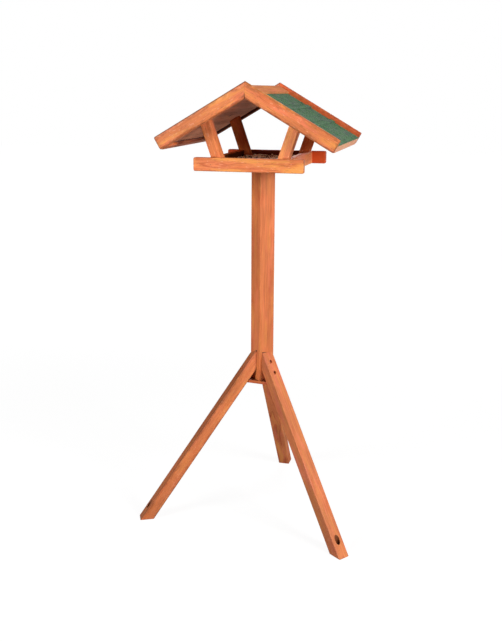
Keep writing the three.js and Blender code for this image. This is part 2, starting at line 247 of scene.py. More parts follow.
# Softwood as a solid: growth rings round a pith line that runs along the board, finer fibres,
# and the stain's own streaks. Its vector lies in the board's frame, X along the grain.
def softwood_grain():
    tree, given, made = new_group("softwood_grain", "ShaderNodeTree", (
        ("Vector", "Vector", (0, 0, 0)),
        ("Pith", "Vector", (0, 0, 0)),
        ("Slant", "Vector", (0, 0, 0)),
        ("Ring Width", "Float", 0.004),
        ("Seed", "Float", 0.0),
        ("Depth", "Float", 0.0),
        ("Paleness", "Float", 0.0),
        ("Ring Contrast", "Float", 0.5),
        ("Flecks", "Float", 1.0),
        ("Honey", "Float", 0.7),
        ("Rosiness", "Float", 0.6),
        ("Knot", "Vector", (0, 0, 0)),
        ("Knot Size", "Float", 0.0),
    ), (
        ("Color", "Color"),
        ("Roughness", "Float"),
        ("Height", "Float"),
    ))
    moved = vectors(tree, "ADD", given["Vector"], given["Seed"])

    from_knot = vectors(tree, "SUBTRACT", given["Vector"], given["Knot"])
    knot_distance = vectors(tree, "LENGTH", vectors(tree, "MULTIPLY", from_knot, (0.5, 1, 1)))
    knot_size = maths(tree, "MAXIMUM", given["Knot Size"], 0.0001)
    knot_ratio = maths(tree, "DIVIDE", knot_distance, knot_size)
    knot_fall = maths(tree, "ADD", product(tree, knot_ratio, knot_ratio), 1.0)
    knot_push = maths(tree, "DIVIDE", product(tree, given["Knot Size"], knot_push_share), knot_fall)

    along = parted(tree, given["Vector"])[0]
    pith = vectors(tree, "ADD", given["Pith"], scaled(tree, given["Slant"], along))
    from_pith = vectors(tree, "SUBTRACT", given["Vector"], pith)
    radius = vectors(tree, "LENGTH", vectors(tree, "MULTIPLY", from_pith, (0, 1, 1)))
    slow_bend = product(tree, lumps(tree, moved, slow_bend_pitch), slow_bend_reach)
    quick_bend = product(tree, lumps(tree, moved, quick_bend_pitch), quick_bend_reach)
    bend = maths(tree, "ADD", maths(tree, "ADD", slow_bend, quick_bend), knot_push)
    bent_radius = maths(tree, "ADD", radius, bend)
    change_place = product(tree, bent_radius, ring_change_pitch)
    change = add(tree, "ShaderNodeTexNoise", {"W": change_place}, noise_dimensions="1D").outputs[0]
    rings = maths(tree, "DIVIDE", bent_radius, given["Ring Width"])
    tooth = maths(tree, "FRACT", maths(tree, "ADD", rings, product(tree, change, ring_change)))
    late = between(tree, tooth, late_starts, late_full)
    late = product(tree, late, between(tree, tooth, late_ends, 1.0, 1.0, 0.0))

    share = {}
    for name, streak in streaks.items():
        streaky = lumps(tree, shifted(tree, moved, streak["shift"]), streak["pitch"], 4.0)
        share[name] = between(tree, streaky, streak["starts"], streak["full"])
    colour = layered(
        tree, early_wood,
        (product(tree, late, given["Ring Contrast"]), late_wood),
        (product(tree, share["honey"], given["Honey"]), honey_streak),
        (product(tree, share["rosy"], given["Rosiness"]), rosy_streak),
        (product(tree, share["soaked"], soaked_share), deep_stain),
    )

    fibre = lumps(tree, moved, fibre_pitch, 3.0)
    blotch = lumps(tree, shifted(tree, moved, 13), blotch_pitch)
    fleck = lumps(tree, shifted(tree, moved, 17), fleck_pitch)
    colour = scaled(tree, colour, between(tree, blotch, 0.30, 0.70, 0.86, 1.12))
    colour = scaled(tree, colour, between(tree, fibre, 0.30, 0.62, 0.84, 1.04))
    dark_fleck = product(tree, between(tree, fleck, 0.60, 0.70, 0.0, 0.24), given["Flecks"])
    pale_fleck = product(tree, between(tree, fleck, 0.30, 0.38, 0.40, 0.0), given["Flecks"])
    colour = scaled(tree, colour, maths(tree, "SUBTRACT", 1.0, dark_fleck))
    colour = layered(
        tree, colour,
        (pale_fleck, pale_stain),
        (given["Depth"], deep_stain),
        (given["Paleness"], pale_stain),
        (between(tree, knot_ratio, 0.60, 1.05, 0.85, 0.0), knot_wood),
    )
    put(tree, made, {
        "Color": colour,
        "Roughness": between(tree, fibre, 0.25, 0.75, 0.60, 0.46),
        "Height": maths(tree, "ADD", product(tree, late, 0.35), product(tree, fibre, 0.65)),
    })
    return tree


# How near a point of a board lies to its closest edge, as a ragged mask. Half Size is half the
# board's length, width and thickness, in its own frame.
def near_edges():
    tree, given, made = new_group("near_edges", "ShaderNodeTree", (
        ("Vector", "Vector", (0, 0, 0)),
        ("Half Size", "Vector", (1, 1, 1)),
        ("Reach", "Float", 0.002),
        ("Seed", "Float", 0.0),
    ), (("Mask", "Float"),))
    a, b, c = parted(tree, vectors(
        tree, "SUBTRACT", given["Half Size"], vectors(tree, "ABSOLUTE", given["Vector"])
    ))
    smaller = maths(tree, "MINIMUM", a, b)
    larger = maths(tree, "MAXIMUM", a, b)
    middle_one = maths(tree, "MAXIMUM", smaller, maths(tree, "MINIMUM", larger, c))
    moved = vectors(tree, "ADD", given["Vector"], given["Seed"])
    ragged = between(tree, lumps(tree, moved, edge_pitch, 3.0), 0.35, 0.70, 0.25, 1.5)
    reach = product(tree, given["Reach"], ragged)
    put(tree, made, {"Mask": between(tree, middle_one, 0.0, reach, 1.0, 0.0)})
    return tree


softwood = softwood_grain()
edges = near_edges()


def edge_mask(tree, vector, half_size, reach, seed):
    values = {"Vector": vector, "Half Size": half_size, "Reach": reach, "Seed": seed}
    return add(tree, "ShaderNodeGroup", values, node_tree=edges).outputs["Mask"]


# A place in a node's own frame, and half the node's length, width and thickness
def own_vector(tree, node, along, across):
    ways = Matrix((along, across, along.cross(across)))
    spots = [ways @ vertex.co for vertex in frame["nodes"][node].data.vertices]
    low = Vector([min(spot[i] for spot in spots) for i in range(3)])
    high = Vector([max(spot[i] for spot in spots) for i in range(3)])
    back = ways.transposed()
    lie = add(tree, "ShaderNodeMapping", {
        "Vector": object_place(tree),
        "Location": back @ ((low + high) / 2),
        "Rotation": back.to_euler(),
    }, vector_type="TEXTURE")
    return lie.outputs[0], (high - low) / 2


def bumped(tree, height, strength, distance):
    values = {"Height": height, "Strength": strength, "Distance": distance}
    return add(tree, "ShaderNodeBump", values).outputs[0]


def new_finish(name):
    finish = bpy.data.materials.new(name)
    finish.use_nodes = True
    return finish, finish.node_tree, finish.node_tree.nodes["Principled BSDF"].inputs


def coat(node, finish):
    shown = frame["nodes"][node].data
    shown.materials.clear()
    shown.materials.append(finish)


# A painted shade: the share of its brightness that a face keeps that looks the given way
def dark_face(way, kept, starts=0.6, full=0.9):
    def mark(tree, vector, half_size):
        return between(tree, turned_to(tree, way), starts, full, 1.0, kept)
    return mark


# A stained board: pith is where its growth rings centre, in widths and thicknesses of the board,
# and slant is how far that line runs off it per length, which draws the rings out into flames.
# Its edges are darker, partly where the stain gathers and partly as painted shade, and each mark
# darkens a place of its own, most of them as painted shade.
def stain(
    node, along, across, pith, seed, tone=1.0, depth=0.0, pale=0.0, rings=0.0045,
    contrast=0.5, honey=0.7, rosy=0.6, flecks=1.0, gloss=0.28, edge_reach=0.0025, edge_tone=0.80,
    slant=(0, 0), marks=(),
):
    finish, tree, shader = new_finish(f"stained_{node}")
    vector, half_size = own_vector(tree, node, along, across)
    grain = add(tree, "ShaderNodeGroup", {
        "Vector": vector,
        "Pith": (0, pith[0] * half_size.y * 2, pith[1] * half_size.z * 2),
        "Slant": (0, *slant),
        "Ring Width": rings,
        "Seed": seed,
        "Depth": depth,
        "Paleness": pale,
        "Ring Contrast": contrast,
        "Flecks": flecks,
        "Honey": honey,
        "Rosiness": rosy,
    }, node_tree=softwood).outputs
    sawn_end = between(tree, maths(tree, "ABSOLUTE", turned_to(tree, along)), 0.45, 0.95)
    gathered = edge_mask(tree, vector, half_size, edge_reach, seed)
    shades = [
        between(tree, sawn_end, 0, 1, tone, tone * end_grain_tone),
        between(tree, gathered, 0, 1, 1.0, edge_tone),
    ]
    shades += [mark(tree, vector, half_size) for mark in marks]
    colour = grain["Color"]
    for shade in shades:
        colour = scaled(tree, colour, shade)
    put(tree, shader, {
        "Base Color": colour,
        "Roughness": grain["Roughness"],
        "Specular IOR Level": gloss,
        "Normal": bumped(tree, grain["Height"], 0.45, grain_relief),
    })
    coat(node, finish)


# Painted shade in a foot's peg hole and a thin ring round it; the hole stands plumb at the middle of
# its opening
def peg_hole_shade(leg):
    openings = frame["record"]["physics"]["openings"]
    name = leg.replace("_leg", "_peg_hole")
    low, high = next(opening["box_m"] for opening in openings if opening["name"] == name)
    middle = ((low[0] + high[0]) / 2, (low[1] + high[1]) / 2, 0)

    def mark(tree, vector, half_size):
        beside = vectors(tree, "SUBTRACT", object_place(tree), middle)
        distance = vectors(tree, "LENGTH", vectors(tree, "MULTIPLY", beside, (1, 1, 0)))
        return between(tree, distance, peg_hole_shade_reach * 0.9, peg_hole_shade_reach, peg_hole_shade_kept, 1.0)
    return mark


# A painted shadow along a leg's upper end, where it meets the post
def leg_top_shadow(tree, vector, half_size):
    below_top = maths(tree, "ADD", parted(tree, vector)[0], half_size.x)
    return between(tree, below_top, leg_top_shadow_reach * 0.4, leg_top_shadow_reach, leg_top_shadow_kept, 1.0)


leg_looks = {
    "right_leg": {
        "pith": (0.9, -1.3), "seed": 2.0, "tone": 1.03, "depth": 0.03, "pale": 0.05, "honey": 0.35,
    },
    "left_leg": {
        "pith": (-1.4, 0.6), "seed": 17.0, "depth": 0.02, "pale": 0.03, "honey": 0.45, "rosy": 0.3,
        "edge_reach": 0.009, "edge_tone": 0.70,
    },
    "rear_leg": {
        "pith": (0.1, -1.6), "seed": 31.0, "depth": 0.06, "rings": 0.011, "contrast": 1.0,
        "slant": (0, 0.02),
    },
}
for leg, look_of_leg in leg_looks.items():
    outward = heading(math.radians(leg_azimuths[leg]))
    down_leg = outward * math.sin(leg_slope) - Vector((0, 0, math.cos(leg_slope)))
    sideways = Vector((0, 0, 1)).cross(outward)
    top_way = outward * math.cos(leg_slope) + Vector((0, 0, math.sin(leg_slope)))
    marks = [leg_top_shadow, peg_hole_shade(leg)]
    # Painted shade: the right leg's left side face and the left leg's upper outer face are darker
    if leg == "right_leg":
        marks.append(dark_face(-sideways, 0.82))
    if leg == "left_leg":
        marks.append(dark_face(top_way, 0.70))
    stain(leg, down_leg, sideways, flecks=0.5, marks=marks, **look_of_leg)


# Leg screws: two zinc-plated countersunk screws through each leg, sunk in their holes, with a
# rolled thread and a cross recess. They bite level into the post.
thread_pitch = 0.0022
thread_depth_share = 0.16
thread_start_share = 2.0
thread_full_share = 2.6
point_share = 0.06
rim_share = 0.3
recess_length_share = 0.6
recess_depth_share = 0.5
recess_width = 0.0011
head_height_share = 0.4
big_shank_share = 4.5 / 8
fastener_sides = 24
fastener_step = 0.0005
merge_reach = 0.00001
zinc_bloom_pitch = 350
zinc_scuff_pitch = 1800
grey_zinc = (0.56, 0.58, 0.60, 1)
yellow_zinc = (0.62, 0.57, 0.46, 1)
deep_brown_screw = (0.240, 0.052, 0.020, 1)
pale_brown_screw = (0.80, 0.36, 0.20, 1)


# The head's middle, the way it faces, and the sizes of a fastener, from its node's own corners.
# Its point is the corner farthest from its middle, and the rim of its head is farthest from that.
def fastener_lie(node):
    corners = {tuple(round(x, 6) for x in v.co) for v in frame["nodes"][node].data.vertices}
    corners = [Vector(corner) for corner in corners]
    middle = sum(corners, Vector()) / len(corners)
    point = max(corners, key=lambda corner: (corner - middle).length)
    farthest = max((corner - point).length for corner in corners)
    rim = [corner for corner in corners if (corner - point).length > farthest - merge_reach]
    head = sum(rim, Vector()) / len(rim)
    return head, (head - point).normalized(), (head - point).length, (rim[0] - head).length


def realized(tree, copies):
    return add(tree, "GeometryNodeRealizeInstances", {0: copies}).outputs[0]


# The end of a shape's tree: all of it gets its finish
def complete(tree, made, shape, finish):
    coated = add(tree, "GeometryNodeSetMaterial", {"Geometry": shape, "Material": finish})
    join(tree, coated.outputs[0], made["Geometry"])
    return tree


# A turned fastener for each point: a rod drawn in under its head, with a thread and a point.
# The recess is cut into the head of a screw, and a nail has neither recess nor thread.
def turned_fastener():
    tree, given, made = new_group("turned_fastener", "GeometryNodeTree", (
        ("Points", "Geometry", None),
        ("Length", "Float", 0.03),
        ("Head Radius", "Float", 0.004),
        ("Shank Radius", "Float", 0.002),
        ("Head Height", "Float", 0.003),
        ("Thread Depth", "Float", 0.0005),
        ("Has Recess", "Bool", True),
        ("Finish", "Material", None),
    ), (("Geometry", "Geometry"),))
    rod = add(tree, "GeometryNodeMeshCylinder", {
        "Vertices": fastener_sides,
        "Side Segments": maths(tree, "ROUND", maths(tree, "DIVIDE", given["Length"], fastener_step)),
        "Radius": 1.0,
        "Depth": given["Length"],
    })
    x, y, z = parted(tree, add(tree, "GeometryNodeInputPosition").outputs[0])
    half_length = maths(tree, "DIVIDE", given["Length"], 2.0)
    below_head = maths(tree, "SUBTRACT", half_length, z)
    rim = product(tree, given["Head Height"], rim_share)
    taper = between(
        tree, below_head, rim, given["Head Height"],
        given["Head Radius"], given["Shank Radius"], "LINEAR",
    )

    turn = maths(tree, "DIVIDE", maths(tree, "ARCTAN2", y, x), math.tau)
    wound = maths(tree, "SUBTRACT", maths(tree, "DIVIDE", below_head, thread_pitch), turn)
    thread_start = product(tree, given["Head Height"], thread_start_share)
    thread_full = product(tree, given["Head Height"], thread_full_share)
    begun = between(tree, below_head, thread_start, thread_full)
    valley = product(tree, maths(tree, "PINGPONG", wound, 0.5), begun, given["Thread Depth"], 2.0)

    point_start = maths(tree, "SUBTRACT", given["Length"], product(tree, given["Shank Radius"], 2.0))
    sharpening = between(tree, below_head, point_start, given["Length"], 1.0, point_share, "LINEAR")
    radius = product(tree, maths(tree, "SUBTRACT", taper, valley), sharpening)
    turned = add(tree, "GeometryNodeSetPosition", {
        "Geometry": rod.outputs[0],
        "Position": combined(
            tree, product(tree, x, radius), product(tree, y, radius),
            maths(tree, "SUBTRACT", z, half_length),
        ),
    }).outputs[0]

    recess_length = product(tree, given["Head Radius"], 2.0 * recess_length_share)
    recess_height = product(tree, given["Head Height"], 2.0 * recess_depth_share)
    recessed = add(tree, "GeometryNodeMeshBoolean", {"Mesh 1": turned}, operation="DIFFERENCE")
    for wide, deep in ((recess_length, recess_width), (recess_width, recess_length)):
        size = combined(tree, wide, deep, recess_height)
        bit = add(tree, "GeometryNodeMeshCube", {"Size": size}).outputs[0]
        join(tree, bit, recessed.inputs["Mesh 2"])
    chosen = add(tree, "GeometryNodeSwitch", {
        "Switch": given["Has Recess"], "False": turned, "True": recessed.outputs[0],
    }, input_type="GEOMETRY")

    way = add(tree, "GeometryNodeInputNamedAttribute", {"Name": "way"}, data_type="FLOAT_VECTOR")
    aim = add(tree, "FunctionNodeAlignRotationToVector", {"Vector": way.outputs[0]}, axis="Z")
    copies = add(tree, "GeometryNodeInstanceOnPoints", {
        "Points": given["Points"], "Instance": chosen.outputs[0], "Rotation": aim.outputs[0],
    })
    return complete(tree, made, realized(tree, copies.outputs[0]), given["Finish"])


# Runs a tree on an object with the values of its named inputs, and leaves a plain mesh
def shape_with(made, tree, values):
    modifier = made.modifiers.new("shape", "NODES")
    modifier.node_group = tree
    for item in tree.interface.items_tree:
        if item.item_type == "SOCKET" and item.in_out == "INPUT" and item.name in values:
            modifier[item.identifier] = values[item.name]
    shaped = made.evaluated_get(bpy.context.evaluated_depsgraph_get())
    plain = bpy.data.meshes.new_from_object(shaped)
    made.modifiers.clear()
    made.data = plain
    return made


def new_object(name, mesh):
    made = bpy.data.objects.new(name, mesh)
    bpy.context.scene.collection.objects.link(made)
    return made


def fasteners(name, nodes, shank_share, finish, threaded):
    lies = [fastener_lie(node) for node in nodes]
    mesh = bpy.data.meshes.new(name)
    mesh.from_pydata([head for head, way, length, radius in lies], [], [])
    ways = mesh.attributes.new("way", "FLOAT_VECTOR", "POINT")
    for i, (head, way, length, radius) in enumerate(lies):
        ways.data[i].vector = way
    head, way, length, radius = lies[0]
    shank_radius = radius * shank_share
    made = shape_with(new_object(name, mesh), fastener_tree, {
        "Length": length,
        "Head Radius": radius,
        "Shank Radius": shank_radius,
        "Head Height": radius * 2 * head_height_share,
        "Thread Depth": shank_radius * 2 * thread_depth_share if threaded else 0.0,
        "Has Recess": threaded,
        "Finish": finish,
    })
    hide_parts(*nodes)
    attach(made, "root")


def screw(node, shank_share, plated):
    fasteners(f"{node}_body", [node], shank_share, plated, True)


# Zinc plate: bright grey with a faint bluish and yellow bloom, dulled where it has been handled, and
# mixed with a given share of brown
def zinc_plate(name, brown_share, brown_colour=deep_brown_screw):
    finish, tree, shader = new_finish(name)
    bloom = lumps(tree, object_place(tree), zinc_bloom_pitch, 3.0)
    scuff = lumps(tree, object_place(tree), zinc_scuff_pitch, 3.0)
    colour = tinted(tree, between(tree, bloom, 0.35, 0.65), grey_zinc, yellow_zinc)
    colour = scaled(tree, colour, between(tree, scuff, 0.35, 0.60, 0.72, 1.0))
    put(tree, shader, {
        "Base Color": tinted(tree, brown_share, colour, brown_colour),
        "Roughness": between(tree, scuff, 0.35, 0.65, 0.50, 0.28),
        "Metallic": 0.95 * (1 - brown_share),
        "Normal": bumped(tree, scuff, 0.15, 0.0002),
    })
    return finish


fastener_tree = turned_fastener()
zinc = zinc_plate("zinc_plate", 0.0)
browned_zinc = {
    1: zinc_plate("thinly_browned_zinc", 0.80, pale_brown_screw),
    2: zinc_plate("browned_zinc", 0.92),
}
for leg in leg_azimuths:
    for place, plated in browned_zinc.items():
        screw(f"{leg}_screw_{place}", big_shank_share, plated)


# Base plate: a flat piece of the same softwood under the post, its corners cut between the
# legs. Two screws go up through it into the end of the post.
grain_right = Vector((1, 0, 0))
grain_back = Vector((0, 1, 0))
grain_up = Vector((0, 0, 1))
# Its upper face is darker as a painted shadow under the post and legs
stain(
    "base_plate", grain_right, grain_back, pith=(0.2, -3.0), seed=43.0, tone=0.88, depth=0.35,
    marks=(dark_face(grain_up, 0.30),),
)
for side in ("left", "right"):
    screw(f"{side}_plate_screw", big_shank_share, zinc)


# Post: a square bar of straight-grained softwood that stands with one edge to the front. The
# tray's two screws go down into its upper end.
post_front_right = heading(math.radians(45))
# The darker line down the post's left edge, on the faces turned towards -X, is painted shade
stain(
    "post", grain_up, post_front_right, pith=(1.7, -0.8), seed=53.0, depth=0.03, rings=0.005,
    contrast=0.4, honey=0.35, rosy=0.35, flecks=0.2,
    marks=(dark_face(-grain_right, 0.5, 0.80, 0.95),),
)
for end in ("front", "rear"):
    screw(f"{end}_post_top_screw", big_shank_share, zinc)


# Tray floor and roof panels: thin three-ply softwood sheet, left unplaned under a thin brown
# stain. The floor lies between the rails, and a panel closes each slope of the roof.
ply_face = (0.88, 0.395, 0.215, 1)
ply_late = (0.56, 0.215, 0.110, 1)
ply_core = (0.66, 0.380, 0.220, 1)
ply_layers = 3
layer_blur = 0.04
ply_ring_width = 0.0022
core_share = 0.6
ply_cloud_pitch = (5, 30, 30)
ply_wear_pitch = (40, 300, 300)
ply_relief = 0.0009
seam_shadow_colour = (0.020, 0.010, 0.008, 1)
seam_shadow_reach = 0.0075


def ply_sheet(node, along, across, seed, knot=(0, 0, 0), knot_size=0.0):
    finish, tree, shader = new_finish(f"sheet_{node}")
    vector, half_size = own_vector(tree, node, along, across)
    knot_middle = half_size * Vector(knot)
    grain = add(tree, "ShaderNodeGroup", {
        "Vector": vector,
        "Pith": (0, half_size.y * 0.3, half_size.z * 5),
        "Ring Width": ply_ring_width,
        "Seed": seed,
        "Knot": knot_middle,
        "Knot Size": knot_size,
    }, node_tree=softwood).outputs
    moved = shifted(tree, vector, seed)
    cloud = between(tree, lumps(tree, moved, ply_cloud_pitch), 0.3, 0.7, 0.80, 1.15)
    level = maths(tree, "DIVIDE", maths(tree, "ABSOLUTE", parted(tree, vector)[2]), half_size.z)
    core = between(tree, level, 1 / ply_layers - layer_blur, 1 / ply_layers + layer_blur, 1.0, 0.0)
    from_knot = vectors(tree, "LENGTH", vectors(tree, "SUBTRACT", vector, knot_middle))
    knot_rim = knot_size * 1.1 + 0.0001
    knot_mark = between(tree, from_knot, knot_size * 0.7, knot_rim, 1.0 if knot_size else 0.0, 0.0)
    # Painted shadow: the sheet is darker along all its edges, where it meets the boards round it
    seam_shadow = between(tree, edge_mask(tree, vector, half_size, seam_shadow_reach, seed), 0.25, 0.60)
    colour = tinted(tree, between(tree, grain["Height"], 0.30, 0.62), ply_face, ply_late)
    put(tree, shader, {
        "Base Color": layered(
            tree, scaled(tree, colour, cloud),
            (product(tree, core, core_share), ply_core), (knot_mark, knot_wood), (seam_shadow, seam_shadow_colour),
        ),
        "Roughness": between(tree, lumps(tree, moved, ply_wear_pitch), 0.3, 0.7, 0.68, 0.88),
        "Specular IOR Level": 0.25,
        "Normal": bumped(tree, grain["Height"], 0.6, ply_relief),
    })
    coat(node, finish)


ply_sheet("tray_floor", grain_back, -grain_right, seed=61.0)


# Tray rails: four softwood boards stand on edge round the floor. The front and rear ones run
# past the side ones and are nailed to them with lost-head nails, stained over.
rail_looks = {
    "front_rail": {
        "pith": (0.12, -1.2), "seed": 71.0, "tone": 1.10, "rings": 0.005, "contrast": 0.8,
        "honey": 0.95, "rosy": 0.2, "slant": (0, 0.010),
    },
    "rear_rail": {"pith": (-0.7, 1.6), "seed": 79.0, "tone": 1.42, "depth": 0.97, "gloss": 0.1},
    "left_rail": {"pith": (1.2, 1.4), "seed": 83.0, "depth": 0.06, "gloss": 0.0},
    # The right rail's raised tone and paleness are painted light, for light that the eave keeps off it
    "right_rail": {"pith": (-0.8, -1.7), "seed": 89.0, "tone": 1.42, "pale": 0.14, "gloss": 0.15},
}
inside_shade_reach = 0.001
inside_shade_kept = {"front_rail": 0.35, "rear_rail": 0.22, "left_rail": 0.16, "right_rail": 0.35}
nail_shank_share = 2 / 2.8
nail_film_pitch = 900
nail_stain = (0.46, 0.125, 0.042, 1)
nail_stain_thin = (0.62, 0.185, 0.062, 1)
bare_nail = (0.42, 0.38, 0.33, 1)


# Painted shade on the rails' inner faces, inside the tray under the roof: all that stands close over
# the floor
def shaded_inside(kept):
    low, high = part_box("tray_floor")

    def mark(tree, vector, half_size):
        place = parted(tree, object_place(tree))
        inside = []
        for i in (0, 1):
            reach = (high[i] - low[i]) / 2 + inside_shade_reach
            inside.append(maths(tree, "COMPARE", place[i], (low[i] + high[i]) / 2, reach))
        return between(tree, product(tree, *inside), 0.0, 1.0, 1.0, kept)
    return mark


for rail, look_of_rail in rail_looks.items():
    along = grain_right if rail in ("front_rail", "rear_rail") else grain_back
    marks = [shaded_inside(inside_shade_kept[rail])]
    # Painted shade: the rear rail's outer face is darker
    if rail == "rear_rail":
        marks.append(dark_face(grain_back, 0.70))
    stain(rail, along, grain_up, marks=marks, **look_of_rail)


# Nail heads: the boards' stain over steel, worn off in spots
def stained_nail_heads():
    finish, tree, shader = new_finish("stained_nail_heads")
    film = lumps(tree, object_place(tree), nail_film_pitch, 3.0)
    bare = between(tree, film, 0.62, 0.72)
    stained = tinted(tree, between(tree, film, 0.3, 0.6), nail_stain, nail_stain_thin)
    put(tree, shader, {
        "Base Color": tinted(tree, bare, stained, bare_nail),
        "Roughness": between(tree, film, 0.3, 0.7, 0.62, 0.42),
        "Metallic": product(tree, bare, 0.8),
        "Normal": bumped(tree, film, 0.3, 0.0003),
    })
    return finish


nail_finish = stained_nail_heads()


def nail(node):
    fasteners(f"{node}_body", [node], nail_shank_share, nail_finish, False)


for end in ("front", "rear"):
    for side in ("left", "right"):
        nail(f"{end}_{side}_rail_nail")


# Struts: four short bars lean outward from the tray's corners. Each is notched over its side
# rail, screwed from below, and cut to the slope of the roof at its head.
strut_lean = math.radians(19)
small_shank_share = 3.5 / 7
strut_looks = {
    "front_left": {"pith": (1.2, -1.3), "seed": 101.0, "depth": 0.02, "pale": 0.09, "gloss": 0.0},
    # The front right strut's raised tone and paleness are painted light, for light that the verge
    # board keeps off it
    "front_right": {
        "pith": (-1.5, -0.9), "seed": 103.0, "tone": 1.28, "pale": 0.16, "rosy": 0.3, "gloss": 0.05,
    },
    # The rear struts' deeper stain, and the rear left one's lower tone, are painted shade under the
    # roof
    "rear_left": {"pith": (0.8, 1.4), "seed": 107.0, "tone": 0.88, "depth": 0.30, "gloss": 0.0},
    "rear_right": {"pith": (-1.1, 1.2), "seed": 109.0, "depth": 0.35, "gloss": 0.0},
}
for corner, look_of_strut in strut_looks.items():
    lean = strut_lean if corner.endswith("right") else -strut_lean
    up_strut = Vector((math.sin(lean), 0, math.cos(lean)))
    stain(f"{corner}_strut", up_strut, grain_back, **look_of_strut)
    for place in ("foot", "head"):
        screw(f"{corner}_strut_{place}_screw", small_shank_share, zinc)


# Roof panels and eave boards: a sheet on each slope, and along its lower edge a board that
# carries the felt's end and holds the ends of the verge boards.
roof_pitch = math.radians(30)
down_slopes = {
    "left": Vector((-math.cos(roof_pitch), 0, -math.sin(roof_pitch))),
    "right": Vector((math.cos(roof_pitch), 0, -math.sin(roof_pitch))),
}
panel_looks = {
    "left": {"seed": 117.0, "knot": (0.10, -0.05, -1.0), "knot_size": 0.006},
    "right": {"seed": 118.0},
}
eave_looks = {
    "left": {"pith": (1.1, 1.9), "seed": 127.0, "depth": 0.04},
    # The right eave board's strong paleness is a painted reflection
    "right": {"pith": (-0.9, 2.1), "seed": 131.0, "tone": 1.05, "pale": 0.62, "gloss": 0.15},
}
for side, down_slope in down_slopes.items():
    ply_sheet(f"{side}_roof_panel", grain_back, down_slope, **panel_looks[side])
    stain(f"{side}_eave_board", grain_back, down_slope, **eave_looks[side])


# Felt: three courses of bitumen felt on each slope, each lapped over the one below and faced
# with green and grey mineral grit. The lap shows as a low dark step across the roof.
grit_spacing = 0.002
grit_height = 0.0005
grit_size_pitch = 420.0
swell_height = 0.0007
swell_pitch = 16.0
front_reach = 0.0001
felt_grain_pitch = 780.0
felt_cloud_pitch = (30, 42, 30)
felt_patch_pitch = (55, 90, 55)
felt_green = (0.068, 0.195, 0.078, 1)
felt_leaf = (0.110, 0.275, 0.098, 1)
felt_slate = (0.125, 0.142, 0.152, 1)
felt_pale = (0.330, 0.380, 0.290, 1)
felt_bitumen = (0.020, 0.032, 0.026, 1)


# The corners of a straight piece's front end, in their order round it
def front_outline(node):
    shape = bmesh.new()
    shape.from_mesh(frame["nodes"][node].data)
    bmesh.ops.remove_doubles(shape, verts=shape.verts, dist=merge_reach)
    front = min(corner.co.y for corner in shape.verts) + front_reach
    beside = {}
    for edge in shape.edges:
        a, b = edge.verts
        at_front = a.co.y < front and b.co.y < front
        if at_front and sum(face.normal.y < -0.9 for face in edge.link_faces) == 1:
            beside.setdefault(a, []).append(b)
            beside.setdefault(b, []).append(a)
    walk = [next(iter(beside))]
    while len(walk) < len(beside):
        walk.append(next(corner for corner in beside[walk[-1]] if corner not in walk[-2:]))
    outline = [corner.co.copy() for corner in walk]
    shape.free()
    return outline


def mesh_of(shape, name):
    mesh = bpy.data.meshes.new(name)
    shape.to_mesh(mesh)
    shape.free()
    return mesh


# A sheet of even small faces between the front and rear of a straight piece
def fine_sheet(name, node):
    outline = front_outline(node)
    low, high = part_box(node)
    ring = []
    for start, end in zip(outline, outline[1:] + outline[:1]):
        steps = max(1, math.ceil((end - start).length / grit_spacing))
        ring += [start.lerp(end, step / steps) for step in range(steps)]
    rows = math.ceil((high.y - low.y) / grit_spacing)
    shape = bmesh.new()
    layers = []
    for row in range(rows + 1):
        y = low.y + (high.y - low.y) * row / rows
        layers.append([shape.verts.new((spot.x, y, spot.z)) for spot in ring])
    for near, far in zip(layers, layers[1:]):
        for i in range(len(ring)):
            j = (i + 1) % len(ring)
            shape.faces.new((near[i], near[j], far[j], far[i]))
    shape.faces.new(layers[0])
    shape.faces.new(layers[-1])
    bmesh.ops.recalc_face_normals(shape, faces=shape.faces)
    return new_object(name, mesh_of(shape, name))


# Lifts a sheet's points along its normals by fine grit and by a slow swell
def gritted_sheet():
    tree, given, made = new_group("gritted_sheet", "GeometryNodeTree", (
        ("Sheet", "Geometry", None),
        ("Grit Height", "Float", 0.0),
        ("Grit Pitch", "Float", 1.0),
        ("Swell Height", "Float", 0.0),
        ("Swell Pitch", "Float", 1.0),
        ("Finish", "Material", None),
    ), (("Geometry", "Geometry"),))
    place = add(tree, "GeometryNodeInputPosition").outputs[0]
    lifts = []
    for height, pitch in (("Grit Height", "Grit Pitch"), ("Swell Height", "Swell Pitch")):
        values = {"Vector": place, "Scale": given[pitch]}
        uneven = add(tree, "ShaderNodeTexNoise", values).outputs[0]
        lifts.append(product(tree, maths(tree, "SUBTRACT", uneven, 0.5), given[height]))
    normal = add(tree, "GeometryNodeInputNormal").outputs[0]
    lifted = add(tree, "GeometryNodeSetPosition", {
        "Geometry": given["Sheet"], "Offset": scaled(tree, normal, maths(tree, "ADD", *lifts)),
    })
    return complete(tree, made, realized(tree, lifted.outputs[0]), given["Finish"])


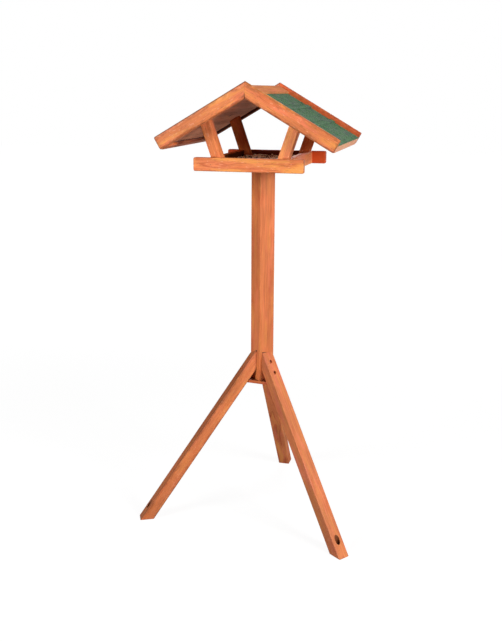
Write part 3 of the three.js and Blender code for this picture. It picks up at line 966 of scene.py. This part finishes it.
# Mineral grit: grains of three colours over clouds of green and slate, with bitumen between them
def felt_finish():
    finish, tree, shader = new_finish("mineral_felt")
    place = object_place(tree)
    grains = add(tree, "ShaderNodeTexVoronoi", {"Vector": place, "Scale": felt_grain_pitch}).outputs
    pick = parted(tree, grains["Color"])
    cloud = lumps(tree, place, felt_cloud_pitch, 4.0)
    patch = lumps(tree, shifted(tree, place, 4), felt_patch_pitch, 3.0)
    colour = tinted(tree, between(tree, cloud, 0.47, 0.60, 0.0, 0.9), felt_green, felt_slate)
    put(tree, shader, {
        "Base Color": layered(
            tree, scaled(tree, colour, between(tree, patch, 0.40, 0.56, 0.48, 1.25)),
            (between(tree, pick[0], 0.62, 0.70), felt_leaf),
            (between(tree, pick[1], 0.78, 0.82), felt_slate),
            (between(tree, pick[2], 0.93, 0.95), felt_pale),
            (between(tree, pick[0], 0.03, 0.06, 0.8, 0.0), felt_bitumen),
        ),
        "Roughness": 0.92,
        "Specular IOR Level": 0.2,
        "Normal": bumped(tree, grains["Distance"], 0.8, 0.0008),
    })
    return finish


felt = felt_finish()
grit = gritted_sheet()
for side in down_slopes:
    for course in (1, 2, 3):
        node = f"{side}_felt_course_{course}"
        sheet = shape_with(fine_sheet(f"{node}_sheet", node), grit, {
            "Grit Height": grit_height,
            "Grit Pitch": grit_size_pitch,
            "Swell Height": swell_height,
            "Swell Pitch": swell_pitch,
            "Finish": felt,
        })
        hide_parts(node)
        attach(sheet, "root")


# Ridge boards: two thin strips of stained softwood, mitred to each other, that cover the upper
# edges of the felt.
ridge_looks = {
    "left": {"pith": (0.4, 3.5), "seed": 137.0, "depth": 0.03, "gloss": 0.06},
    # The right ridge board's paleness and raised tone are a painted sheen
    "right": {"pith": (-0.5, 4.0), "seed": 139.0, "tone": 1.10, "pale": 0.22, "gloss": 0.0},
}
for side, down_slope in down_slopes.items():
    stain(f"{side}_ridge_board", grain_back, down_slope, **ridge_looks[side])


# Verge boards: four softwood boards on edge close the roof's front and rear, mitred at the
# ridge and nailed to the ends of the eave boards.
front_verge = {"rings": 0.007, "contrast": 0.22, "rosy": 0.5}
verge_looks = {
    "front_left": {"pith": (0.8, -1.2), "seed": 149.0, **front_verge},
    "front_right": {"pith": (-1.0, -1.5), "seed": 151.0, **front_verge},
    "rear_left": {"pith": (1.3, 1.2), "seed": 157.0, "depth": 0.25},
    "rear_right": {"pith": (-1.2, 1.5), "seed": 163.0, "tone": 1.15, "depth": 0.72},
}
mitre_line = 0.0016
mitre_middle = 0.023
mitre_fade = 0.010
mitre_kept = 0.25
under_roof_shade_kept = 0.12
left_slope_up = Vector((-math.sin(roof_pitch), 0, math.cos(roof_pitch)))


# The mitre has opened a little at its lower half, and the gap shows as a dark line
def mitre_mark(tree, vector, half_size):
    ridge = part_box("front_left_verge_board")[1].z
    place = parted(tree, object_place(tree))
    beside = maths(tree, "ABSOLUTE", maths(tree, "SUBTRACT", place[0], post_middle.x))
    line = between(tree, beside, mitre_line * 0.3, mitre_line, mitre_kept, 1.0)
    top = ridge - mitre_middle
    return maths(tree, "MAXIMUM", line, between(tree, place[2], top - mitre_fade, top))


# Painted shade: below the sheet, the inner face of the left board at the rear is dark
def shaded_under_roof(tree, vector, half_size):
    above = between(tree, parted(tree, vector)[2], half_size.z * -0.3, 0.0, 1.0, 0.0)
    inner_face = dark_face(-grain_back, under_roof_shade_kept)(tree, vector, half_size)
    return maths(tree, "MAXIMUM", inner_face, above)


# Painted shade: the front left board's upper edge, and the rear left board's underside and inner face
# below the sheet, are darker
verge_marks = {
    "front_left": (mitre_mark, dark_face(left_slope_up, 0.55, 0.15, 0.70)),
    "front_right": (mitre_mark,),
    "rear_left": (shaded_under_roof, dark_face(-left_slope_up, 0.25)),
}
for corner, look_of_verge in verge_looks.items():
    down_slope = down_slopes[corner.split("_")[1]]
    # The wide dark band along each verge board's edges is painted shade
    stain(
        f"{corner}_verge_board", down_slope, grain_back, edge_reach=0.011, edge_tone=0.68,
        marks=verge_marks.get(corner, ()), **look_of_verge,
    )
    nail(f"{corner}_verge_nail")


# Seed: the feed that lies loose in the tray, a low heap of sunflower seed, wheat and millet. It
# isn't fixed to anything: it fills the tray's floor round the feet of the struts.
heap_height = 0.0084
heap_unevenness = 0.0030
heap_edge_fall = 0.0030
heap_edge_reach = 0.022
heap_step = 0.004
cell_corners = ((0, 0), (1, 0), (1, 1), (0, 1))
heap_clearance = 0.001
heap_lump_pitch = 55
heap_dimple_pitch = 160
strut_clearance = 0.0035
grain_spacing = 0.0046
grain_density = 200000.0
grain_lift = 0.0010
grain_sizes = (
    (0.0052, 0.0027, 0.0020), (0.0036, 0.0019, 0.0018), (0.0018, 0.0017, 0.0017),
    (0.0060, 0.0034, 0.0027),
)
grain_kind_ends = (0.46, 0.56, 0.64)
grain_growth = (0.82, 1.15)
grain_tilt = 0.9
least_upward = 0.3
grain_seed = 5
grain_fleck_pitch = 420
grain_bed = (0.050, 0.018, 0.010, 1)
grain_colours = (
    (0.022, 0.009, 0.006, 1), (0.90, 0.38, 0.15, 1), (1.0, 0.66, 0.32, 1), (1.0, 0.82, 0.62, 1),
)

floor_low, floor_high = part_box("tray_floor")
strut_feet = []
for corner in strut_looks:
    low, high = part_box(f"{corner}_strut")
    outline = [vertex.co for vertex in frame["nodes"][f"{corner}_strut"].data.vertices]
    foot = [spot for spot in outline if spot.z < floor_high.z + heap_height * 2]
    foot_low = min(spot.x for spot in foot) - strut_clearance
    foot_high = max(spot.x for spot in foot) + strut_clearance
    strut_feet.append((foot_low, foot_high, low.y - strut_clearance, high.y + strut_clearance))


def in_strut_foot(x, y):
    return any(a < x < b and c < y < d for a, b, c, d in strut_feet)


# The heap's upper surface: its cells round the feet are left out, and its rim goes down to the
# floor, so that it closes against the rails
def seed_heap():
    low_x, high_x = floor_low.x + heap_clearance, floor_high.x - heap_clearance
    low_y, high_y = floor_low.y + heap_clearance, floor_high.y - heap_clearance
    columns = round((high_x - low_x) / heap_step)
    rows = round((high_y - low_y) / heap_step)
    shape = bmesh.new()
    spots = {}
    for column in range(columns + 1):
        for row in range(rows + 1):
            x = low_x + (high_x - low_x) * column / columns
            y = low_y + (high_y - low_y) * row / rows
            inset = min(x - low_x, high_x - x, y - low_y, high_y - y)
            fall = heap_edge_fall * max(0.0, 1.0 - inset / heap_edge_reach) ** 2
            bumps = noise.noise(Vector((x, y, 0)) * heap_lump_pitch)
            bumps += 0.5 * noise.noise(Vector((x, y, 1)) * heap_dimple_pitch)
            z = floor_high.z + heap_height + bumps * heap_unevenness / 1.5 - fall
            spots[column, row] = shape.verts.new((x, y, z))
    for column in range(columns):
        for row in range(rows):
            cell = [spots[column + right, row + back] for right, back in cell_corners]
            if not any(in_strut_foot(corner.co.x, corner.co.y) for corner in cell):
                shape.faces.new(cell)
    loose = [spot for spot in shape.verts if not spot.link_faces]
    bmesh.ops.delete(shape, geom=loose, context="VERTS")
    rim = [edge for edge in shape.edges if edge.is_boundary]
    walls = bmesh.ops.extrude_edge_only(shape, edges=rim)["geom"]
    for spot in walls:
        if isinstance(spot, bmesh.types.BMVert):
            spot.co.z = floor_high.z + heap_clearance / 2
    bottom = [edge for edge in shape.edges if edge.is_boundary]
    bmesh.ops.triangle_fill(shape, edges=bottom, use_beauty=True)
    bmesh.ops.recalc_face_normals(shape, faces=shape.faces)
    return mesh_of(shape, "seed")


# Strews grains over the heap's upper faces, each kind in its own share, size and tone
def strewn_grains():
    tree, given, made = new_group("strewn_grains", "GeometryNodeTree", (
        ("Heap", "Geometry", None),
        ("Spacing", "Float", 0.003),
        ("Density", "Float", 100000.0),
        ("Lift", "Float", 0.0),
        ("Seed", "Int", grain_seed),
        ("Finish", "Material", None),
    ), (("Geometry", "Geometry"),))
    facing = parted(tree, add(tree, "GeometryNodeInputNormal").outputs[0])
    spots = add(tree, "GeometryNodeDistributePointsOnFaces", {
        "Mesh": given["Heap"],
        "Selection": maths(tree, "GREATER_THAN", facing[2], least_upward),
        "Distance Min": given["Spacing"],
        "Density Max": given["Density"],
        "Seed": given["Seed"],
    }, distribute_method="POISSON")
    raised = add(tree, "GeometryNodeSetPosition", {
        "Geometry": spots.outputs[0], "Offset": combined(tree, 0, 0, given["Lift"]),
    })

    def chance(data_type, low, high, seed_step):
        draw = add(tree, "FunctionNodeRandomValue", data_type=data_type)
        shown = [socket for socket in draw.inputs if socket.enabled]
        join(tree, low, shown[0])
        join(tree, high, shown[1])
        join(tree, maths(tree, "ADD", given["Seed"], seed_step), draw.inputs["Seed"])
        return next(socket for socket in draw.outputs if socket.enabled)

    draw = chance("FLOAT", 0.0, 1.0, 1.0)
    kind = 0
    for end in grain_kind_ends:
        kind = maths(tree, "ADD", kind, maths(tree, "GREATER_THAN", draw, end))
    size = add(tree, "GeometryNodeIndexSwitch", data_type="VECTOR")
    for _ in grain_sizes[2:]:
        size.index_switch_items.new()
    join(tree, kind, size.inputs["Index"])
    put(tree, size.inputs, enumerate(grain_sizes, 1))
    growth = chance("FLOAT", *grain_growth, 2.0)
    most_turned = (grain_tilt, grain_tilt, math.tau)
    turn = chance("FLOAT_VECTOR", (-grain_tilt, -grain_tilt, 0.0), most_turned, 3.0)
    grain = add(tree, "GeometryNodeMeshUVSphere", {"Segments": 6, "Rings": 4, "Radius": 1.0})
    copies = add(tree, "GeometryNodeInstanceOnPoints", {
        "Points": raised.outputs[0],
        "Instance": grain.outputs[0],
        "Rotation": turn,
        "Scale": scaled(tree, size.outputs[0], growth),
    })
    kinds = add(tree, "GeometryNodeStoreNamedAttribute", {
        "Geometry": copies.outputs[0], "Name": "kind", "Value": maths(tree, "ADD", kind, 1.0),
    }, data_type="FLOAT", domain="INSTANCE")
    both = add(tree, "GeometryNodeJoinGeometry", {0: given["Heap"]})
    join(tree, realized(tree, kinds.outputs[0]), both.inputs[0])
    return complete(tree, made, both.outputs[0], given["Finish"])


# Grains: dark husks, brown wheat, yellow millet and pale kernels over a dark bed
def seed_finish():
    finish, tree, shader = new_finish("bird_seed")
    kind = add(tree, "ShaderNodeAttribute", attribute_name="kind").outputs["Fac"]
    fleck = lumps(tree, object_place(tree), grain_fleck_pitch, 3.0)
    layers = [
        (maths(tree, "GREATER_THAN", kind, step + 0.5), grain_colour)
        for step, grain_colour in enumerate(grain_colours)
    ]
    colour = layered(tree, grain_bed, *layers)
    put(tree, shader, {
        "Base Color": scaled(tree, colour, between(tree, fleck, 0.3, 0.7, 0.65, 1.25)),
        "Roughness": between(tree, fleck, 0.3, 0.7, 0.78, 0.60),
        "Specular IOR Level": 0.05,
        "Normal": bumped(tree, fleck, 0.3, 0.0003),
    })
    return finish


seed = shape_with(new_object("seed", seed_heap()), strewn_grains(), {
    "Spacing": grain_spacing,
    "Density": grain_density,
    "Lift": grain_lift,
    "Seed": grain_seed,
    "Finish": seed_finish(),
})
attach(seed, "root")


# Ground: a plain pale studio floor, a little brighter to the camera so that it runs into the
# white behind it. It keeps a faint soft shadow under the table.
ground_half = 14.0
ground_bounce = 0.42
ground_shade = 0.14
near_glow = 0.90
far_glow = 1.0
glow_start = 0.9
glow_end = 3.2

shape = bmesh.new()
bmesh.ops.create_grid(shape, x_segments=8, y_segments=8, size=ground_half)
ground_mesh = mesh_of(shape, "ground")
ground = new_object("ground", ground_mesh)
finish, tree, shader = new_finish("pale_floor")
to_camera = add(tree, "ShaderNodeLightPath").outputs["Is Camera Ray"]
distance = vectors(tree, "LENGTH", object_place(tree))
glow = between(tree, distance, glow_start, glow_end, near_glow, far_glow)
put(tree, shader, {
    "Base Color": between(tree, to_camera, 0, 1, ground_bounce, ground_shade),
    "Roughness": 0.9,
    "Specular IOR Level": 0.0,
    "Emission Color": (1, 1, 1, 1),
    "Emission Strength": product(tree, to_camera, glow),
})
ground_mesh.materials.append(finish)


# Light: two tall soft lamps stand in front of the table, the right one stronger, with a weaker
# one behind it and one above its roof. The room itself is dim.
lamps = {
    "right_lamp": {"azimuth": 60, "distance": 2.5, "height": 1.62, "watts": 71, "size": (1.0, 1.3)},
    "left_lamp": {"azimuth": -40, "distance": 2.5, "height": 1.58, "watts": 54, "size": (1.0, 1.3)},
    "rear_lamp": {"azimuth": 180, "distance": 3.0, "height": 1.35, "watts": 32, "size": (1.8, 1.8)},
    "top_lamp": {"azimuth": 0, "distance": 0.05, "height": 3.2, "watts": 6, "size": (0.9, 0.9)},
}
aim_height = 0.95
room_light = 0.04

for name, lamp in lamps.items():
    light = new_object(name, bpy.data.lights.new(name, "AREA"))
    light.data.shape = "RECTANGLE"
    light.data.size, light.data.size_y = lamp["size"]
    light.data.energy = lamp["watts"]
    light.visible_camera = False
    spot = heading(math.radians(lamp["azimuth"])) * lamp["distance"]
    light.location = spot + Vector((post_middle.x, post_middle.y, lamp["height"]))
    aim = Vector((post_middle.x, post_middle.y, aim_height))
    light.rotation_euler = (light.location - aim).to_track_quat("Z", "Y").to_euler()

world = bpy.data.worlds.new("studio")
bpy.context.scene.world = world
world.use_nodes = True
to_camera = add(world.node_tree, "ShaderNodeLightPath").outputs["Is Camera Ray"]
put(world.node_tree, world.node_tree.nodes["Background"].inputs, {
    "Color": (1, 1, 1, 1),
    "Strength": between(world.node_tree, to_camera, 0, 1, room_light, 1.0),
})
bpy.context.scene.view_settings.view_transform = "Standard"
